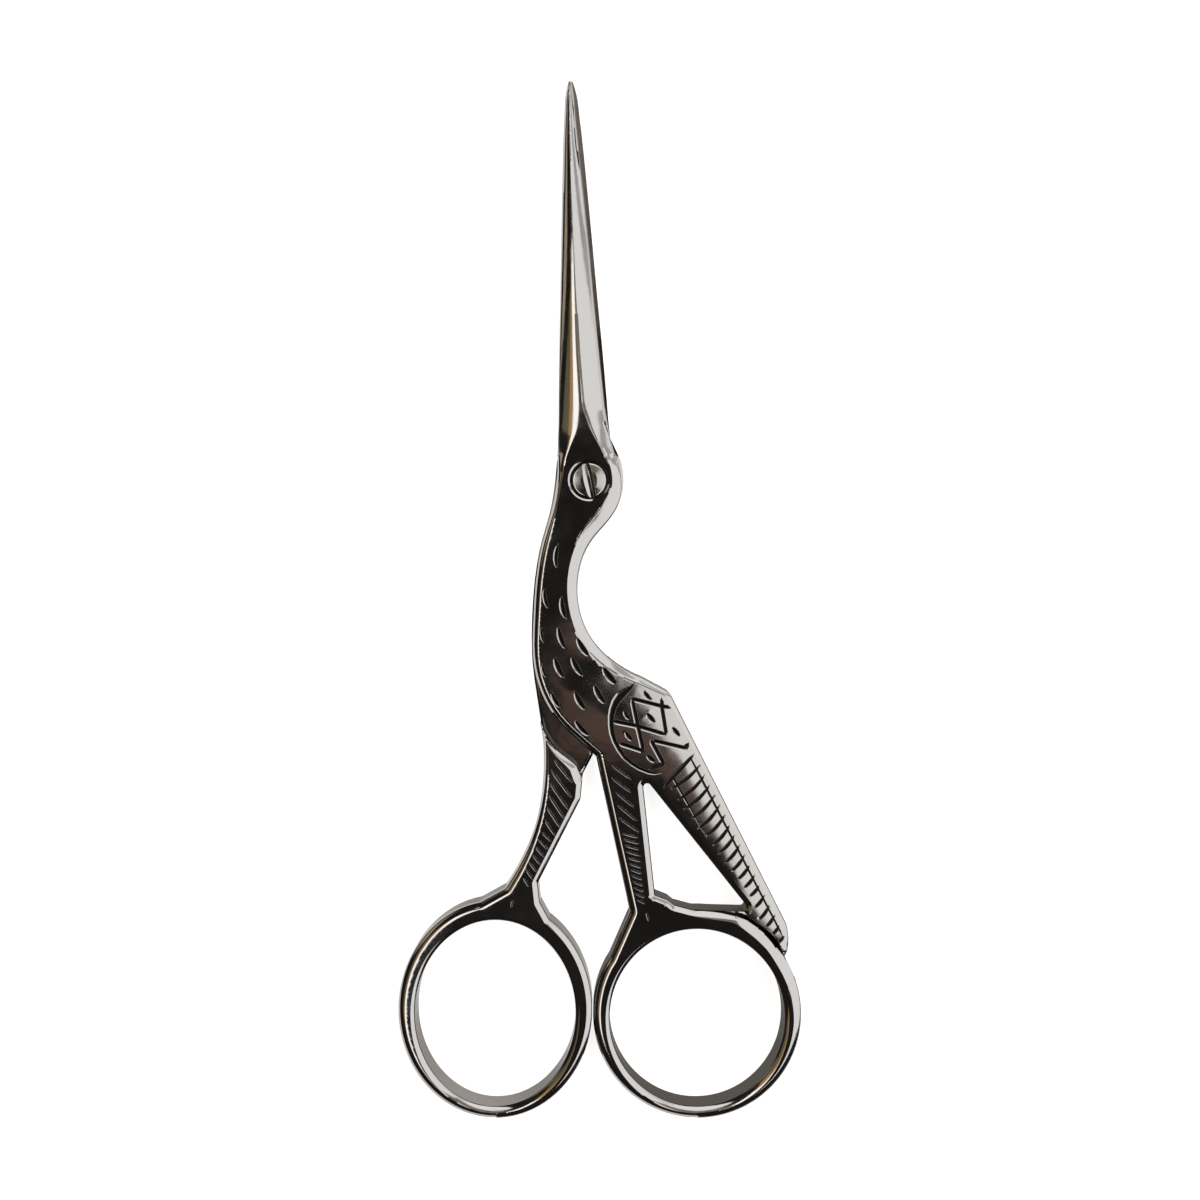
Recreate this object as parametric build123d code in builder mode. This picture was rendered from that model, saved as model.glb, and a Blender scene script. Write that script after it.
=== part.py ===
from build123d import *
from math import cos, radians, sin
import os

# Stork embroidery scissors, closed and lying flat: blades along +Y, +Z up from the resting face.
# The origin is on the pivot axis, at the resting face.

# Driving lengths along the scissors
blade_length = 44.8
body_length = 30.6
leg_length = 17.0

# Driving widths
blade_width = 5.4
head_width = 7.5
neck_width = 4.9
neck_offset = 3.75
body_width = 15.8

# Thickness of one lapped half, and the slack between the two faces that slide on each other
half_thickness = 2.0
lap_gap = 0.02

# Finger rings: the right one is round, the left one a little taller than wide
right_ring_radius = 11.55
left_ring_half_width = 10.75
left_ring_half_height = 12.05

# Ring walls at the sides, under the leg and at the foot
ring_wall = 1.85
ring_top_wall = 2.15
ring_foot_wall = 1.3

# Slack between the closed rings, and how far right of the pivot they meet
ring_gap = 0.1
ring_meet_offset = 0.4

# Sloped edges that frame every flat panel, and the narrower ones inside the rings
edge_slope_width = 0.76
edge_slope_height = 0.5
ring_slope_width = 0.42

# The rear half shows past the front one as a thin line along the nape and the crown
rear_peek = 0.23
lap_clearance = 0.35

# Pivot screw and its counterbore
screw_head_diameter = 3.9
screw_head_rim = 0.65
screw_dome_rise = 0.25
screw_shank_diameter = 2.2
screw_slot_width = 0.75
screw_slot_depth = 0.5
screw_slot_angle = 101.7
screw_head_clearance = 0.2
screw_running_clearance = 0.04
screw_thread_clearance = 0.015
counterbore_depth = 0.95

# Roundings
shoulder_radius = 1.8
window_radius = 0.44

# One overrun serves every cut
cut_overrun = 1.0

# The blades lean a little to the left of the body's line
blade_tilt = 2.2
blade_foot_share = -0.065

full_thickness = 2 * half_thickness + lap_gap
front_lap_level = half_thickness + lap_gap
rear_lap_level = half_thickness

# Ring centres: the feet of both rings stand on one line
ring_foot = -(body_length + leg_length + 2 * right_ring_radius)
right_ring_centre = (ring_meet_offset + ring_gap / 2 + right_ring_radius, ring_foot + right_ring_radius)
left_ring_centre = (ring_meet_offset - ring_gap / 2 - left_ring_half_width, ring_foot + left_ring_half_height)


def finger_hole(centre, half_width, half_height):
    """The hole's middle and half sizes: its wall is thickest under the leg and thinnest at the foot."""
    hole_height = 2 * half_height - ring_top_wall - ring_foot_wall
    middle = (centre[0], ring_foot + ring_foot_wall + hole_height / 2)
    return middle, half_width - ring_wall, hole_height / 2


right_hole_middle, right_hole_half_width, right_hole_half_height = finger_hole(
    right_ring_centre, right_ring_radius, right_ring_radius
)
left_hole_middle, left_hole_half_width, left_hole_half_height = finger_hole(
    left_ring_centre, left_ring_half_width, left_ring_half_height
)


# Places on the outline, each as shares of the sizes that it follows
def on_head(across_share, up_share):
    return (across_share * head_width, up_share * head_width)


def on_neck(across_share, down_share):
    return (across_share * neck_width - neck_offset, -down_share * body_length)


def on_body(across_share, down_share):
    return (across_share * body_width, -down_share * body_length)


def on_right_ring(across_share, up_share):
    x, y = right_ring_centre
    return (x + across_share * right_ring_radius, y + up_share * right_ring_radius)


def on_left_ring(across_share, up_share):
    x, y = left_ring_centre
    return (x + across_share * left_ring_half_width, y + up_share * left_ring_half_height)


def between(start, end, way_share):
    return tuple(a + (b - a) * way_share for a, b in zip(start, end))


def moved(points, across):
    return [(x + across, y) for x, y in points]


# The front half's left side: nape, breast and belly, down to the crotch
root_left = on_head(-0.447, 0.387)
nape = [
    root_left,
    on_head(-0.48, 0.0),
    on_head(-0.553, -0.44),
    on_neck(-0.286, 0.225),
    on_neck(-0.44, 0.37),
    on_neck(-0.5, 0.523),
]
breast = on_body(-0.386, 0.67)
belly = [on_body(-0.304, 0.802), on_body(-0.224, 0.866), on_body(-0.108, 0.928)]
crotch = on_body(0.049, 1.0)

# Its right side: crown, throat and back, down to the shoulder above the tail
root_right = on_head(0.397, 0.387)
crown = [root_right, on_head(0.477, 0.05), on_head(0.48, -0.16), on_head(0.375, -0.46)]
throat = [on_neck(0.786, 0.224), on_neck(0.5, 0.399), on_neck(0.82, 0.572)]
back = [on_body(0.175, 0.657), on_body(0.378, 0.716)]
shoulder = on_body(0.568, 0.768)

# Front leg, tail and the window between them
front_ankle = on_right_ring(-0.648, 0.978)
front_ankle_foot = on_right_ring(-0.92, 0.36)
tail_tip = on_right_ring(0.857, 0.868)
tail_end = on_right_ring(0.875, 0.78)
tail_foot = on_right_ring(0.868, 0.6)
tail_root = on_right_ring(0.8, 0.45)
window_top = on_body(0.371, 1.065)
window_left = on_right_ring(-0.405, 1.143)
window_heel = on_right_ring(-0.281, 1.095)
window_instep = on_right_ring(-0.223, 1.048)
window_sole = on_right_ring(-0.05, 1.002)
window_toe = on_right_ring(0.2, 0.992)
window_right = on_right_ring(0.515, 0.985)

# Rear half: its crown, the inner edge that follows the throat to the crotch, and the back leg
rear_root_left = on_head(-0.487, 0.387)
rear_root_right = on_head(0.447, 0.387)
rear_crown = [rear_root_right, on_head(0.515, 0.05), on_head(0.487, -0.2), on_head(0.37, -0.465)]
rear_inner = [on_neck(0.786, 0.224), on_neck(0.495, 0.399), on_body(-0.062, 0.56), on_body(-0.04, 0.73)]
rear_crotch = moved([crotch], -lap_clearance)[0]
thigh_top = between(rear_crotch, on_body(-0.075, 1.1), 0.7)
knee = on_body(-0.06, 1.155)
flank = [on_body(-0.366, 0.8), on_body(-0.334, 0.905)]
hip = on_body(-0.318, 1.02)
ankle_lean_share = 0.66
rear_ankle_left = on_left_ring(0.1, 1.115)
rear_ankle_left_foot = on_left_ring(-0.42, 0.86)
rear_ankle_right = on_left_ring(0.439, 1.16)
rear_heel = on_left_ring(0.461, 0.985)
rear_heel_foot = on_left_ring(0.66, 0.66)

# Where each half steps from half to full thickness
rear_step = [
    on_body(-0.45, 0.79),
    on_body(-0.318, 0.9),
    on_body(-0.231, 0.97),
    on_body(-0.15, 1.005),
    on_body(-0.085, 1.035),
]
rear_step_end = on_body(-0.027, 1.105)
front_step = [on_body(0.16, 0.6), on_body(0.1, 0.7), on_body(0.085, 0.84), crotch]

# Blade sections from the head to the tip. Shares of the blade's length and width, then of a half's thickness:
# along, spine, cutting edge, crown's left and right side, crown's height, wall at the spine, wall at the edge
blade_section_shares = [
    (0.1, 0.545, 0.54, -0.18, 0.23, 1.0, 0.64, 0.5),
    (0.149, 0.515, 0.485, -0.065, 0.09, 1.0, 0.56, 0.3),
    (0.192, 0.5, 0.455, 0.01, 0.035, 0.99, 0.5, 0.15),
    (0.32, 0.45, 0.39, -0.035, -0.015, 0.92, 0.43, 0.1),
    (0.452, 0.386, 0.321, -0.065, -0.045, 0.83, 0.37, 0.08),
    (0.6, 0.32, 0.25, -0.085, -0.065, 0.71, 0.31, 0.07),
    (0.75, 0.25, 0.172, -0.09, -0.07, 0.57, 0.25, 0.06),
    (0.9, 0.165, 0.09, -0.07, -0.05, 0.42, 0.19, 0.06),
    (0.975, 0.1, 0.055, -0.04, -0.02, 0.33, 0.15, 0.06),
    (1.0, 0.045, 0.03, -0.015, 0.005, 0.25, 0.12, 0.06),
]

# The root section lies just inside the head: share of the head's width
root_along_share = 0.366


def blade_plane(along):
    """A plane across the blade, with its X across the scissors and its Y up."""
    tilt = radians(blade_tilt)
    foot = blade_foot_share * blade_width
    return Plane(
        origin=(foot - along * sin(tilt), along * cos(tilt), 0),
        x_dir=(cos(tilt), sin(tilt), 0),
        z_dir=(sin(tilt), -cos(tilt), 0),
    )


def blade_outline(lap_level, side, spine, edge, crown_spine, crown_edge, height, spine_wall, edge_wall):
    """One section: a flat inner face, a wall at the spine, a ridge and a slope down to the cutting edge."""
    across_and_up = [
        (-spine, 0),
        (-spine, spine_wall),
        (crown_spine, height),
        (crown_edge, height),
        (edge, edge_wall),
        (edge, 0),
    ]
    return [(side * across, lap_level + side * up) for across, up in across_and_up]


def blade_sections(lap_level, side, layer, spine_root, edge_root):
    """The plane and outline of each section, from inside the head to the tip."""
    foot = blade_foot_share * blade_width
    spine = abs(spine_root[0] - foot)
    edge = abs(edge_root[0] - foot)
    wall = layer - edge_slope_height
    root = blade_outline(
        lap_level, side, spine, edge, edge_slope_width - spine, edge - edge_slope_width, layer, wall, wall
    )
    sections = [(blade_plane(root_along_share * head_width), root)]
    for row in blade_section_shares:
        widths = [share * blade_width for share in row[1:5]]
        heights = [share * layer for share in row[5:]]
        sections.append((blade_plane(row[0] * blade_length), blade_outline(lap_level, side, *widths, *heights)))
    return sections


# Front half: upper blade, head, neck, body, front leg, tail and right finger ring
front_layer = full_thickness - front_lap_level
with BuildPart() as front_half:
    with BuildSketch() as front_outline:
        with BuildLine():
            Spline(*nape, breast, *belly, crotch)
            Polyline(crotch, front_ankle, front_ankle_foot, tail_root, tail_foot, tail_end, tail_tip, shoulder, back[-1])
            Spline(back[-1], back[0], *reversed(throat), *reversed(crown))
            Line(root_right, root_left)
        make_face()
        fillet(front_outline.vertices().sort_by_distance(shoulder)[0], shoulder_radius)
        with BuildLine():
            Polyline(
                window_top,
                window_left,
                window_heel,
                window_instep,
                window_sole,
                window_toe,
                window_right,
                close=True,
            )
        make_face(mode=Mode.SUBTRACT)
        for corner in (window_top, window_right):
            fillet(front_outline.vertices().sort_by_distance(corner)[0], window_radius)
        with Locations(right_ring_centre):
            Circle(right_ring_radius)
        with Locations(right_hole_middle):
            Ellipse(right_hole_half_width, right_hole_half_height, mode=Mode.SUBTRACT)
    extrude(amount=full_thickness)
    # Everything above the step is thinned to the upper layer, which laps over the rear half
    with BuildSketch():
        with BuildLine():
            low = crotch[1] - cut_overrun
            high = head_width
            Spline(*front_step)
            Polyline(crotch, (crotch[0], low), (-body_width, low), (-body_width, high), (body_width, high), front_step[0])
        make_face()
    extrude(amount=front_lap_level, mode=Mode.SUBTRACT)
    for end in (-1, 0):
        panel = front_half.faces().sort_by(Axis.Z)[end]
        hole = panel.inner_wires().sort_by_distance(right_hole_middle)[0].edges()
        rim = [edge for edge in panel.edges() if edge not in hole]
        chamfer(rim, edge_slope_width, edge_slope_height, reference=panel)
        panel = front_half.faces().sort_by(Axis.Z)[end]
        hole = panel.inner_wires().sort_by_distance(right_hole_middle)[0].edges()
        chamfer(hole, ring_slope_width, edge_slope_height, reference=panel)
    for plane, outline in blade_sections(front_lap_level, 1, front_layer, root_left, root_right):
        with BuildSketch(plane):
            with BuildLine():
                Polyline(*outline, close=True)
            make_face()
    loft(ruled=True)
    with Locations((0, 0, full_thickness)):
        CounterBoreHole(
            radius=screw_shank_diameter / 2 + screw_running_clearance,
            counter_bore_radius=screw_head_diameter / 2 + screw_head_clearance,
            counter_bore_depth=counterbore_depth,
        )
front_half.part.label = "front_half"

# Rear half: lower blade, the lower layer of head and neck, the back leg and left finger ring
with BuildPart() as rear_half:
    with BuildSketch():
        with BuildLine():
            Spline(rear_root_left, *moved([*nape[1:], breast], -rear_peek), *flank, hip, tangents=[(0, -1), (0, -1)])
            Spline(hip, rear_ankle_left, tangents=[(0, -1), (-ankle_lean_share, -1)])
            Polyline(
                rear_ankle_left,
                rear_ankle_left_foot,
                rear_heel_foot,
                rear_heel,
                rear_ankle_right,
                knee,
                thigh_top,
                rear_crotch,
            )
            Spline(rear_crotch, *reversed(rear_inner), *reversed(rear_crown))
            Line(rear_root_right, rear_root_left)
        make_face()
        with Locations(left_ring_centre):
            Ellipse(left_ring_half_width, left_ring_half_height)
        with Locations(left_hole_middle):
            Ellipse(left_hole_half_width, left_hole_half_height, mode=Mode.SUBTRACT)
    extrude(amount=full_thickness)
    # Everything above the step is thinned to the lower layer, which the front half laps over
    with BuildSketch(Plane.XY.offset(rear_lap_level)):
        with BuildLine():
            high = head_width
            Spline(*rear_step)
            Polyline(
                rear_step[-1],
                rear_step_end,
                (body_width, rear_step_end[1]),
                (body_width, high),
                (-body_width, high),
                rear_step[0],
            )
        make_face()
    extrude(amount=full_thickness, mode=Mode.SUBTRACT)
    for end in (-1, 0):
        panel = rear_half.faces().sort_by(Axis.Z)[end]
        chamfer(panel.outer_wire().edges(), edge_slope_width, edge_slope_height, reference=panel)
        panel = rear_half.faces().sort_by(Axis.Z)[end]
        hole = panel.inner_wires().sort_by_distance(left_hole_middle)[0].edges()
        chamfer(hole, ring_slope_width, edge_slope_height, reference=panel)
    for plane, outline in blade_sections(rear_lap_level, -1, rear_lap_level, rear_root_right, rear_root_left):
        with BuildSketch(plane):
            with BuildLine():
                Polyline(*outline, close=True)
            make_face()
    loft(ruled=True)
    with Locations((0, 0, rear_lap_level)):
        Hole(radius=screw_shank_diameter / 2 + screw_thread_clearance)
rear_half.part.label = "rear_half"

# Pivot screw: domed and slotted head on the counterbore's floor, shank threaded into the rear half and ground
# flush with its face
screw_seat = full_thickness - counterbore_depth + lap_gap
with BuildPart() as pivot_screw:
    with BuildSketch(Plane.XZ):
        with BuildLine():
            head_radius = screw_head_diameter / 2
            shank_radius = screw_shank_diameter / 2
            rim_level = screw_seat + screw_head_rim
            Polyline(
                (0, 0),
                (shank_radius, 0),
                (shank_radius, screw_seat),
                (head_radius, screw_seat),
                (head_radius, rim_level),
            )
            TangentArc((0, rim_level + screw_dome_rise), (head_radius, rim_level), tangent=(1, 0))
            Line((0, rim_level + screw_dome_rise), (0, 0))
        make_face()
    revolve(axis=Axis.Z)
    with BuildSketch(Plane.XY.offset(rim_level + screw_dome_rise - screw_slot_depth)):
        Rectangle(screw_head_diameter + cut_overrun, screw_slot_width, rotation=screw_slot_angle)
    extrude(amount=screw_slot_depth + cut_overrun, mode=Mode.SUBTRACT)
pivot_screw.part.label = "pivot_screw"

os.makedirs("parts", exist_ok=True)
for piece in (front_half, rear_half, pivot_screw):
    export_step(piece.part, f"parts/{piece.part.label}.step")
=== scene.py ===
# %% [markdown]
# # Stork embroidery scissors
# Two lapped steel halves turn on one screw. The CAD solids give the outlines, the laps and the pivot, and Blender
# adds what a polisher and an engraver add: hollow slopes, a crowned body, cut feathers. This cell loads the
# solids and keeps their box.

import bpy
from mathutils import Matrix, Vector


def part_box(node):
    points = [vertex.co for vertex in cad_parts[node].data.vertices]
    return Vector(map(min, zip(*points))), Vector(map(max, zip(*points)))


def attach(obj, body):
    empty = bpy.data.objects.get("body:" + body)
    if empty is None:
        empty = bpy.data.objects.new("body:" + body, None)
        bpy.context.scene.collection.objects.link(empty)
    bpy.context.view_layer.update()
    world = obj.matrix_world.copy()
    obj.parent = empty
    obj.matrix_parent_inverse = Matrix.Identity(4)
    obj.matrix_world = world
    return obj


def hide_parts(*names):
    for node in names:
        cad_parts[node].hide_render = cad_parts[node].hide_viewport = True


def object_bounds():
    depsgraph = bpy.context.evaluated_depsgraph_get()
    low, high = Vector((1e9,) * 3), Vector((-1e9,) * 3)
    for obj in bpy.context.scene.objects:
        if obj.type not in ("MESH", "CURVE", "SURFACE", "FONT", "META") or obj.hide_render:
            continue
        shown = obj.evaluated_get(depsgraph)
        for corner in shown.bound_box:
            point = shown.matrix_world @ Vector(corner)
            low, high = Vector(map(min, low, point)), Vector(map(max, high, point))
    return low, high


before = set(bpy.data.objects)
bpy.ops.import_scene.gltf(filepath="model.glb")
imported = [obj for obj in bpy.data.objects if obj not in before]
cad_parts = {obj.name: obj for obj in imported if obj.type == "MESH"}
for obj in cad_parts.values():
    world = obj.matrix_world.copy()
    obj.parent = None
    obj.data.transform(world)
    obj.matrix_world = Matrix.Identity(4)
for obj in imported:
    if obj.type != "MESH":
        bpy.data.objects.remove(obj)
cad_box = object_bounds()
print("CAD box in mm:", [[round(c * 1000, 2) for c in corner] for corner in cad_box])

# %% [markdown]
# ## Reading an outline from the solids
# A real half is stamped to an outline before anything else happens to it, so the outline comes first here. Typed
# again it could drift from the solids, so each solid is cut by a level plane instead, and the loops of the cut
# are read back. Points inside a straight run carry nothing and are dropped.

# %% Section loops
import bmesh
import numpy as np

MM = 0.001
straight_turn = 0.002
touching = 1e-7


def section_loops(node, level):
    """The closed outlines of a CAD node at a height in mm, the longest first."""
    cut = bmesh.new()
    cut.from_mesh(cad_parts[node].data)
    bmesh.ops.remove_doubles(cut, verts=cut.verts, dist=touching)
    everything = cut.verts[:] + cut.edges[:] + cut.faces[:]
    plane = {"plane_co": (0, 0, level * MM), "plane_no": (0, 0, 1)}
    found = bmesh.ops.bisect_plane(cut, geom=everything, **plane)
    neighbours = {}
    for piece in found["geom_cut"]:
        if isinstance(piece, bmesh.types.BMEdge):
            for here, there in (piece.verts, reversed(piece.verts)):
                neighbours.setdefault(here, []).append(there)
    loops, seen = [], set()
    for start in neighbours:
        loop, here = [], start
        while here is not None and here not in seen:
            seen.add(here)
            loop.append((here.co.x / MM, here.co.y / MM))
            here = next((v for v in neighbours[here] if v not in seen), None)
        if len(loop) > 2:
            loops.append(without_straight_points(np.array(loop)))
    cut.free()
    return sorted(loops, key=lambda loop: -abs(signed_area(loop)))


def lengths(vectors):
    return np.linalg.norm(vectors, axis=1)


def without_straight_points(loop):
    back = loop - np.roll(loop, 1, 0)
    ahead = np.roll(loop, -1, 0) - loop
    across = back[:, 0] * ahead[:, 1] - back[:, 1] * ahead[:, 0]
    turn = np.abs(across) / (lengths(back) * lengths(ahead))
    return loop[turn > straight_turn]


def signed_area(loop):
    x, y = loop.T
    return 0.5 * float((x * np.roll(y, -1) - y * np.roll(x, -1)).sum())


# %% [markdown]
# ## Smoothing an outline
# The solids arrive as flat facets, and polished steel would show every one. Their corners lie on the true curve,
# so a curve through them is smooth again. Each corner gets the direction of the circle through it and its
# neighbours, a long straight run keeps its own, and a sharp corner stays sharp.

# %% Smooth outline
sharp_turn = 14.0
short_run = 0.3
long_run = 1.6
long_ratio = 3.0


def normalised(vectors):
    return vectors / lengths(vectors)[:, None]


def smoothed(loop, step):
    """Points about every step mm along a smooth curve through the loop's corners."""
    ahead = np.roll(loop, -1, 0) - loop
    length = lengths(ahead)
    way = ahead / length[:, None]
    back_way, back_length = np.roll(way, 1, 0), np.roll(length, 1)
    turn = np.degrees(np.arccos(np.clip((way * back_way).sum(1), -1, 1)))
    sharp = (turn > sharp_turn) & (np.minimum(length, back_length) > short_run)
    tangent = normalised(way * back_length[:, None] + back_way * length[:, None])
    runs_ahead = (length > long_run) & (length > long_ratio * back_length)
    runs_back = (back_length > long_run) & (back_length > long_ratio * length)
    tangent[runs_ahead] = way[runs_ahead]
    tangent[runs_back] = back_way[runs_back]
    points = []
    for i in range(len(loop)):
        j = (i + 1) % len(loop)
        leave, arrive = tangent[i], tangent[j]
        if sharp[i] and sharp[j]:
            leave = arrive = way[i]
        elif sharp[i]:
            leave = 2 * (way[i] @ arrive) * way[i] - arrive
        elif sharp[j]:
            arrive = 2 * (way[i] @ leave) * way[i] - leave
        count = max(1, int(np.ceil(length[i] / step)))
        t = (np.arange(count) / count)[:, None]
        points.append(
            loop[i] * (1 + 2 * t) * (1 - t) ** 2
            + loop[j] * t**2 * (3 - 2 * t)
            + length[i] * (leave * t * (1 - t) ** 2 - arrive * t**2 * (1 - t))
        )
    return np.concatenate(points)


# %% [markdown]
# ## Distance from an edge
# Every slope on the real pair is filed to a set distance from an edge. A rail is the line that such a distance is
# measured from. Blender's KD tree finds its nearest point fast, and the two runs beside that point give the exact
# distance.

# %% Rails
from mathutils.kdtree import KDTree


def closed(loop):
    return np.vstack([loop, loop[:1]])


def fading(gap, reach):
    """1 on a line, falling evenly to 0 this far from it."""
    return np.clip(1 - gap / reach, 0, 1)


def distances_along(line):
    return np.concatenate([[0], np.cumsum(lengths(np.diff(line, axis=0)))])


def spaced(line, count):
    """The same polyline as this many evenly spaced points."""
    before = distances_along(line)
    t = np.linspace(0, before[-1], count)
    return np.stack([np.interp(t, before, line[:, c]) for c in (0, 1)], 1)


def left_normals(line):
    """The unit vector to the left of a line at each of its points."""
    way = normalised(np.gradient(line, axis=0))
    return np.stack([-way[:, 1], way[:, 0]], 1)


def nearest_on(rail, points):
    """Distance from each point to a polyline, the share of its points before there, and the side, -1 or 1."""
    tree = KDTree(len(rail))
    for i, (x, y) in enumerate(rail):
        tree.insert((x, y, 0), i)
    tree.balance()
    nearest = np.array([tree.find((x, y, 0))[1] for x, y in points], int)
    gap = np.full(len(points), np.inf)
    place, side = np.zeros(len(points)), np.ones(len(points))
    for first in (np.maximum(nearest - 1, 0), np.minimum(nearest, len(rail) - 2)):
        start, run = rail[first], rail[first + 1] - rail[first]
        away = points - start
        share = np.clip((away * run).sum(1) / np.maximum((run**2).sum(1), touching**2), 0, 1)
        there = lengths(away - run * share[:, None])
        closer = there < gap
        gap[closer] = there[closer]
        place[closer] = (first[closer] + share[closer]) / (len(rail) - 1)
        side[closer] = np.sign(run[:, 0] * away[:, 1] - run[:, 1] * away[:, 0])[closer]
    return gap, place, side


def inside(loop, points):
    """Even-odd test of points against one closed loop."""
    x, y = points.T
    result = np.zeros(len(points), bool)
    for (ax, ay), (bx, by) in zip(loop, np.roll(loop, -1, 0)):
        crosses = (ay > y) != (by > y)
        if crosses.any():
            result ^= crosses & (x < (bx - ax) * (y - ay) / ((by - ay) or 1) + ax)
    return result


def holds(loop, point):
    return inside(loop, point[None])[0]


def circle(count):
    """Points evenly spaced round a circle of radius 1."""
    angles = np.arange(count) * 2 * np.pi / count
    return np.stack([np.cos(angles), np.sin(angles)], 1)


# %% [markdown]
# ## From outline to mesh
# A relief like this could be sculpted, or displaced from a picture. Here it is triangulated instead: outline, lap
# step and counterbore are fixed edges, rows of points follow each slope, and the flats get a loose grid with
# finer points where the graver cuts. Blender's constrained Delaunay triangulation joins them. Every point then
# gets a height for the front face and one for the rear face, and walls close the edges between them.

# %% Triangulated plan
from mathutils.geometry import delaunay_2d_cdt

merge_gap = 0.035


def sides_of(face):
    return [tuple(sorted(side)) for side in zip(face, face[1:] + face[:1])]


class Plan:
    """A triangulated plan of closed rings, one open step and loose points, with each triangle's region."""

    def __init__(self, rings, step, loose):
        points, edges = [], []
        for line in [*rings, step]:
            base = len(points)
            points.extend(map(tuple, line))
            edges.extend((base + i, base + i + 1) for i in range(len(line) - 1))
            if line is not step:
                edges.append((base + len(line) - 1, base))
        taken = {(round(x / merge_gap), round(y / merge_gap)) for x, y in points}
        for x, y in loose:
            cell = (round(x / merge_gap), round(y / merge_gap))
            if cell not in taken:
                taken.add(cell)
                points.append((x, y))
        made = delaunay_2d_cdt(points, edges, [], 0, touching, True)
        self.points = np.array([tuple(p) for p in made[0]])
        self.faces = made[2]
        fixed = {tuple(sorted(e)) for e, source in zip(made[1], made[4]) if source}
        self.sides = {}
        for number, face in enumerate(self.faces):
            for side in sides_of(face):
                self.sides.setdefault(side, []).append(number)
        self.region = self.flood(fixed)

    def flood(self, fixed):
        """Numbers the regions that the fixed edges part."""
        region = np.full(len(self.faces), -1)
        number = 0
        for seed in range(len(self.faces)):
            if region[seed] >= 0:
                continue
            region[seed], todo = number, [seed]
            while todo:
                for side in sides_of(self.faces[todo.pop()]):
                    if side not in fixed:
                        others = [other for other in self.sides[side] if region[other] < 0]
                        region[others] = number
                        todo += others
            number += 1
        return region

    def centres(self):
        """A point well inside each region: the middle of its largest triangle."""
        corners = self.points[np.array(self.faces)]
        a, b = corners[:, 1] - corners[:, 0], corners[:, 2] - corners[:, 0]
        area = np.abs(a[:, 0] * b[:, 1] - a[:, 1] * b[:, 0])
        largest = [np.flatnonzero(self.region == r) for r in range(self.region.max() + 1)]
        return np.array([corners[faces[np.argmax(area[faces])]].mean(0) for faces in largest])


# %% [markdown]
# ## Closing the solid
# Each region says which surface is its front and which is its rear. Between two regions whose surfaces differ
# stands a wall, such as the lap step, and round the outline the wall joins front to rear. Where a step ends at
# the outline the wall there takes its corner in as well, so that the mesh stays watertight.

# %% Mesh from plan
import bpy

sharp_edge = 16
wall_normal = 0.3


def relief_mesh(name, plan, surfaces, fronts, rears, painted_wall_shade_amount):
    """A closed mesh. surfaces: name to heights; fronts, rears: region to surface name, or None outside.
    The last argument: how much painted shade darkens the upright walls, for the shader."""
    vertices, numbers = [], {}

    def vertex(point, surface):
        if (point, surface) not in numbers:
            numbers[point, surface] = len(vertices)
            x, y = plan.points[point]
            vertices.append((x * MM, y * MM, surfaces[surface][point] * MM))
        return numbers[point, surface]

    faces, present = [], {}
    for face, region in zip(plan.faces, plan.region):
        if fronts[region]:
            faces.append([vertex(p, fronts[region]) for p in face])
            faces.append([vertex(p, rears[region]) for p in reversed(face)])
            for p in face:
                present.setdefault(p, set()).update((fronts[region], rears[region]))

    def stack(p, top, bottom):
        """The vertices at one point from one surface down to another, steps between them included."""
        levels = {s: surfaces[s][p] for s in present[p]}
        within = [s for s in levels if levels[bottom] < levels[s] < levels[top]]
        return [vertex(p, s) for s in [top, *sorted(within, key=lambda s: -levels[s]), bottom]]

    for (a, b), near in plan.sides.items():
        regions = {plan.region[f] for f in near}
        solid = [r for r in regions if fronts[r]]
        walls = []
        if len(solid) == 1 and (len(regions) == 2 or len(near) == 1):
            walls.append((fronts[solid[0]], rears[solid[0]]))
        elif len(solid) == 2:
            for pair in ({fronts[r] for r in solid}, {rears[r] for r in solid}):
                if len(pair) == 2:
                    walls.append(tuple(sorted(pair, key=lambda s: -surfaces[s][a])))
        for top, bottom in walls:
            faces.append(stack(a, top, bottom) + stack(b, top, bottom)[::-1])
    mesh = bpy.data.meshes.new(name)
    mesh.from_pydata(vertices, [], faces)
    work = bmesh.new()
    work.from_mesh(mesh)
    bmesh.ops.recalc_face_normals(work, faces=work.faces)
    open_edges = sum(not e.is_manifold for e in work.edges)
    work.to_mesh(mesh)
    work.free()
    mesh.shade_smooth()
    mesh.set_sharp_from_angle(angle=np.radians(sharp_edge))
    # Upright faces get painted shade: a dark tint that stands in for the dim reflections on the walls.
    painted_shade_on_upright = [painted_wall_shade_amount * (abs(face.normal.z) < wall_normal) for face in mesh.polygons]
    mesh.attributes.new("painted_wall_shade", "FLOAT", "FACE").data.foreach_set("value", painted_shade_on_upright)
    print(name, "vertices:", len(vertices), "faces:", len(faces), "open or doubled edges:", open_edges)
    points = np.array([key[0] for key in numbers])
    return mesh, points, [key[1] for key in numbers]


def placed(name, data):
    """A new object in the scene."""
    made = bpy.data.objects.new(name, data)
    bpy.context.scene.collection.objects.link(made)
    return made


# %% [markdown]
# ## The engraver's strokes
# On the real pair the feathers, the wing and the tail are cut with a graver: each stroke is a V that is widest in
# its middle and runs out at its ends. A bump texture would not catch light on one wall as a real cut does, so the
# relief is lowered along each stroke. Places are read from the photograph, whose scale and pivot pixel turn them
# into millimetres.

# %% Strokes
photo_scale = 0.1106
photo_pivot = (589.0, 480.0)
stroke_step = 0.09
least_half = 1e-4
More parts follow.
